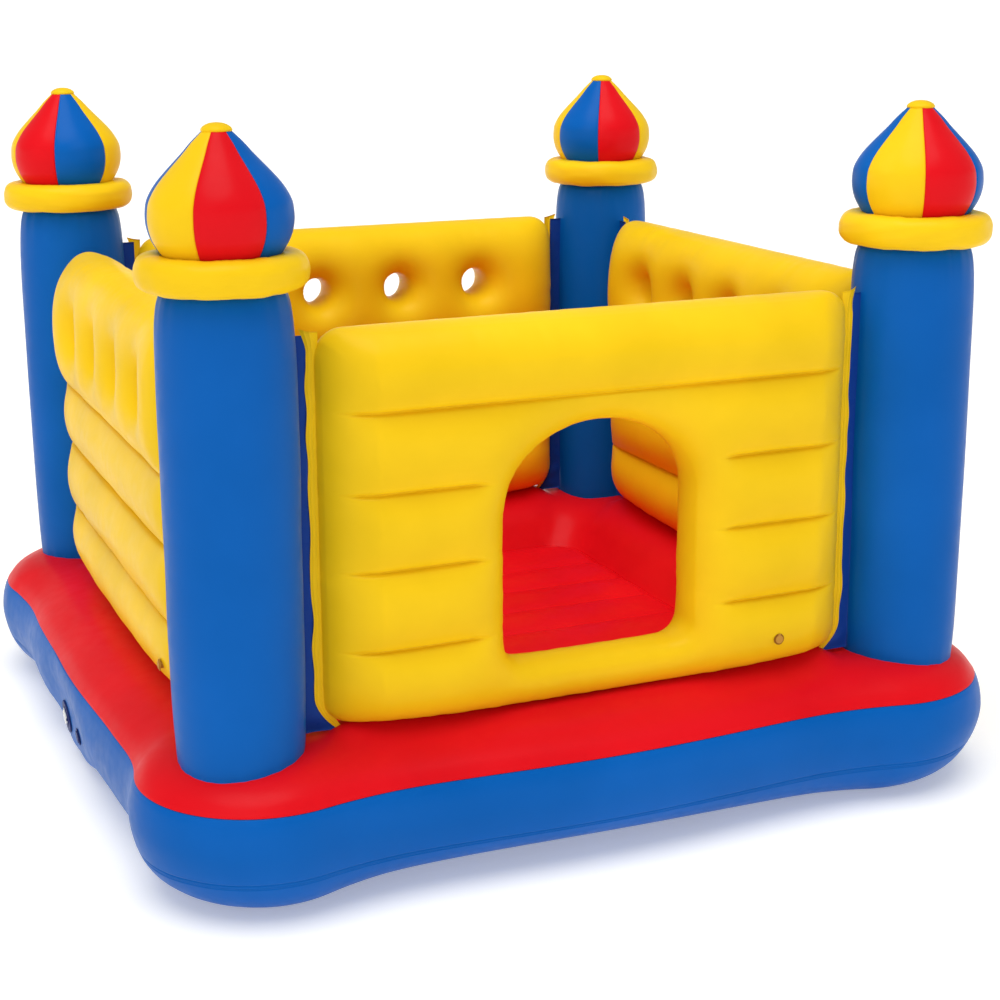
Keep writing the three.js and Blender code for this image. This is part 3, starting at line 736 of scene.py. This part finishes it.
def pucker_wall(points, is_front, strips):
    """Small puckers along the welds, grooves at the inner strips, and a slow unevenness of the sheet."""
    x, y, z = points.T
    seed = 60 if is_front else 61
    d = inside_wall(x, z, is_front)
    gx, gz = gradient(lambda a, b: inside_wall(a, b, is_front), x, z)
    along = waves(seed, 16, 0.022, 0.06, 2)(x - gx * d, z - gz * d)
    slow = waves(seed + 1, 12, 0.09, 0.3, 3)(x, np.sign(y) * 0.3, z)
    side = np.where(y < 0, -1.0, 1.0)
    amount = 1.3 * MM * along * np.exp(-np.abs(d) / (26 * MM)) * np.clip(np.abs(y) / (15 * MM), 0, 1)
    amount += 0.9 * MM * slow * np.clip(np.abs(y) / (40 * MM), 0, 1)
    for height, _, stretches in strips:
        for a, b in stretches:
            held = ease(np.minimum(x - a, b - x) / (60 * MM))
            amount -= 6 * MM * held * np.exp(-(((z - height) / (3.2 * MM)) ** 2)) * (np.abs(y) > 30 * MM)
    from_end = np.clip((WALL_HALF - np.abs(x)) / (88 * MM), 0.001, 1)
    y = y * from_end ** (0.33 if is_front else 0.08)
    lift = weld_lift(x) * np.clip((0.432 - z) / 0.162, 0, 1)
    return np.column_stack([x, y + side * amount, z + lift])


def weld_lift(x):
    """A wall's lower weld rides up towards the wall's ends."""
    return 7 * MM + 15 * MM * np.minimum(1, np.abs(x) / (470 * MM)) ** 2


def wall_matrix(turns):
    """From a wall's own frame to the row frame."""
    turn = Matrix.Rotation(turns * math.pi / 2, 4, "Z")
    return turn @ Matrix.Translation((0, -WALL_AT, 0))


def moved(points, matrix):
    """The points in the row frame."""
    return np.asarray(points) @ np.array(matrix.to_3x3()).T + np.array(matrix.translation)


def strip_mesh(rows, thickness, end):
    """A thin closed strip: rows of points with a thickness along y, for a wall's left or right end."""
    m, n = rows.shape[:2]
    half = np.array([0, thickness / 2, 0])
    points = np.vstack([(rows + half).reshape(-1, 3), (rows - half).reshape(-1, 3)])
    faces = [f[::-1] for f in grid_faces(m, n)]
    faces += [tuple(m * n + v for v in f) for f in grid_faces(m, n)]
    rim = [i * n for i in range(m)] + [(m - 1) * n + j for j in range(1, n)]
    rim += [i * n + n - 1 for i in range(m - 2, -1, -1)] + list(range(n - 2, 0, -1))
    for a, b in zip(rim, rim[1:] + rim[:1]):
        faces.append((a, b, m * n + b, m * n + a))
    return points, faces if end > 0 else [f[::-1] for f in faces]


def build_flange(name, matrix, end, seed, high):
    """The ruffled weld flange at a wall's end, with two raised weld lines and an ear at its top."""
    low = 283 * MM
    zs = np.linspace(low, high, 170)
    across = np.linspace(0, 1, 26)
    z, t = np.meshgrid(zs, across, indexing="ij")
    ruffle = waves(seed, 10, 0.07, 0.2, 1)
    edge_wave = waves(seed + 1, 10, 0.07, 0.25, 1)
    inner = WALL_HALF - 8 * MM
    width = FLANGE_END - inner + 1.6 * MM * edge_wave(z)
    ear = np.clip((z - (high - 44 * MM)) / (44 * MM), 0, 1)
    foot = np.clip((low + 62 * MM - z) / (62 * MM), 0, 1)
    width = width - 3 * MM * np.sin(np.pi * ear) + 7 * MM * ear**2 - 38 * MM * foot**2
    x = inner - 26 * MM * foot**2 + t * np.maximum(width + 26 * MM * foot**2, 3 * MM)
    y = t**1.5 * 1.6 * MM * ruffle(z) - 5 * MM * ear * np.sin(np.pi * t) - 0.8 * MM
    z = z + 7 * MM * ear**3 * t**2
    lines = np.exp(-(((t - 0.52) / 0.035) ** 2)) + np.exp(-(((t - 0.8) / 0.035) ** 2))
    rows = np.stack([end * x, y - 0.9 * MM * lines, z], -1)
    points, faces = strip_mesh(rows, 1.4 * MM, end)
    return piece(name, moved(points, matrix), faces, "yellow")


def build_web(side, end_name, end, matrix, seed):
    """The sheet that ties a wall's end to its pillar, slack and a little wrinkled; its darker blue is
    painted shade of the recess.
    """
    low, high = 279 * MM, 992 * MM
    zs = np.linspace(low, high, 120)
    across = np.linspace(0, 1, 10)
    z, t = np.meshgrid(zs, across, indexing="ij")
    start = WALL_HALF + 7 * MM
    stop = WALL_AT - 114.5 * MM
    folds = waves(seed, 14, 0.03, 0.12, 2)
    x = start + t * (stop - start)
    sag = 1 + 2.5 * np.clip((0.36 - z) / 0.08, 0, 1)
    y = 0.9 * MM * sag * folds(z, t * 0.02) * np.sin(np.pi * t) + 1.5 * MM
    x = x - 30 * MM * (1 - t) * np.clip((0.345 - z) / 0.06, 0, 1) ** 2
    rows = np.stack([end * x, y, z], -1)
    points, faces = strip_mesh(rows, 1.2 * MM, end)
    piece(
        f"{side}_{end_name}_web_sheet", moved(points, matrix), faces, "web",
        replaces=[f"{side}_wall_{end_name}_web"],
    )


def build_walls():
    """The four walls, each with its flanges and webs. The three with windows share one form."""
    meshes = {True: wall_mesh(True), False: wall_mesh(False)}
    for side, turns in SIDES.items():
        matrix = wall_matrix(turns)
        points, faces = meshes[side == "front"]
        wall = piece(
            f"{side}_wall_skin", moved(points, matrix), faces.tolist(), "yellow", replaces=[f"{side}_wall"]
        )
        for end_name, end in (("left", -1), ("right", 1)):
            seed = 200 + 10 * turns + end
            high = 970 * MM if (side, end) == ("left", -1) else 997 * MM
            build_flange(f"{side}_wall_{end_name}_flange", matrix, end, seed, high)
            build_web(side, end_name, end, matrix, seed + 100)


# ---- stage ----
def build_stage():
    """A pale ground that sweeps up far away, a white world and the lamps."""
    mesh = bpy.data.meshes.new("ground")
    near, far, rise = 20, 2000, 300
    corners = [(-1, -1), (1, -1), (1, 1), (-1, 1)]
    points = [(x * near, y * near, 0) for x, y in corners] + [(x * far, y * far, rise) for x, y in corners]
    sweep = [(i, (i + 1) % 4, (i + 1) % 4 + 4, i + 4)[::-1] for i in range(4)]
    mesh.from_pydata(points, [], [(0, 1, 2, 3)] + sweep)
    ground = bpy.data.objects.new("ground", mesh)
    bpy.context.scene.collection.objects.link(ground)
    material = bpy.data.materials.new("pale_ground")
    material.use_nodes = True
    shader = material.node_tree.nodes["Principled BSDF"]
    shader.inputs["Base Color"].default_value = (0.92, 0.9, 0.85, 1)
    shader.inputs["Emission Color"].default_value = (1, 1, 1, 1)
    shader.inputs["Emission Strength"].default_value = 0.3
    shader.inputs["Roughness"].default_value = 0.9
    mesh.materials.append(material)

    world = bpy.data.worlds.new("studio")
    bpy.context.scene.world = world
    world.use_nodes = True
    world.node_tree.nodes["Background"].inputs["Color"].default_value = (1, 1, 1, 1)
    world.node_tree.nodes["Background"].inputs["Strength"].default_value = 0.42
    sun_light("overhead", (-0.25, -0.35, 1.5), 1.75, 44)
    sun_light("left", (-1.0, -0.7, 0.45), 0.34, 60)
    area_light("inner_fill", (-0.3, -0.35, 1.9), (0.5, 0.68, 0.75), 4.5, 1.0)


def sun_light(name, toward, power, spread):
    """A distant soft light from a direction, with an angular size in degrees."""
    light = bpy.data.lights.new(name, "SUN")
    light.energy = power
    light.angle = math.radians(spread)
    obj = bpy.data.objects.new(name, light)
    obj.rotation_euler = Vector(toward).to_track_quat("Z", "Y").to_euler()
    bpy.context.scene.collection.objects.link(obj)


def area_light(name, place, target, power, size):
    """A soft square lamp, aimed at a target."""
    light = bpy.data.lights.new(name, "AREA")
    light.energy, light.size = power, size
    obj = bpy.data.objects.new(name, light)
    obj.location = place
    obj.rotation_euler = (obj.location - Vector(target)).to_track_quat("Z", "Y").to_euler()
    bpy.context.scene.collection.objects.link(obj)


def build_camera():
    camera = bpy.data.cameras.new("camera")
    camera.sensor_width = 36
    camera.lens = 66.6
    camera.shift_x = 0.0086
    camera.shift_y = -0.0472
    obj = bpy.data.objects.new("camera", camera)
    obj.location = (-1.4432, -3.6238, 1.5397)
    yaw, pitch, roll = math.radians(22.84), math.radians(13.8), math.radians(-0.35)
    forward = Vector((math.sin(yaw) * math.cos(pitch), math.cos(yaw) * math.cos(pitch), -math.sin(pitch)))
    level = Vector((math.cos(yaw), -math.sin(yaw), 0))
    above = level.cross(forward)
    right = level * math.cos(roll) + above * math.sin(roll)
    up = above * math.cos(roll) - level * math.sin(roll)
    turn = Matrix((right, up, -forward)).transposed()
    obj.rotation_euler = turn.to_euler()
    bpy.context.scene.collection.objects.link(obj)
    bpy.context.scene.camera = obj


def dress_cad_nodes():
    """The CAD nodes that stay: inner strips and valve parts."""
    for name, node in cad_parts.items():
        if "strip" in name or "flap" in name:
            colour = "strip"
        elif "wall_valve" in name:
            # The wall valves' amber and darker yellow are painted shade of their recesses; the valves
            # themselves are the wall's own yellow.
            colour = "valve_shaded_amber" if name == "front_wall_valve_stem" else "valve_shaded_yellow"
        elif name == "inflation_valve_cap":
            colour = "valve_clear"
        else:
            colour = "valve_blue"
        node.data.materials.clear()
        node.data.materials.append(VINYL[colour])


build_camera()
build_stage()
dress_cad_nodes()
base_top = build_base()
build_floor()
base_tree = BVHTree.FromObject(base_top, bpy.context.evaluated_depsgraph_get())
for corner, (sx, sy, seam, colours) in TOWERS.items():
    build_tower(corner, base_tree, sx, sy, seam, colours)
build_walls()

bpy.context.scene.view_settings.view_transform = "Standard"
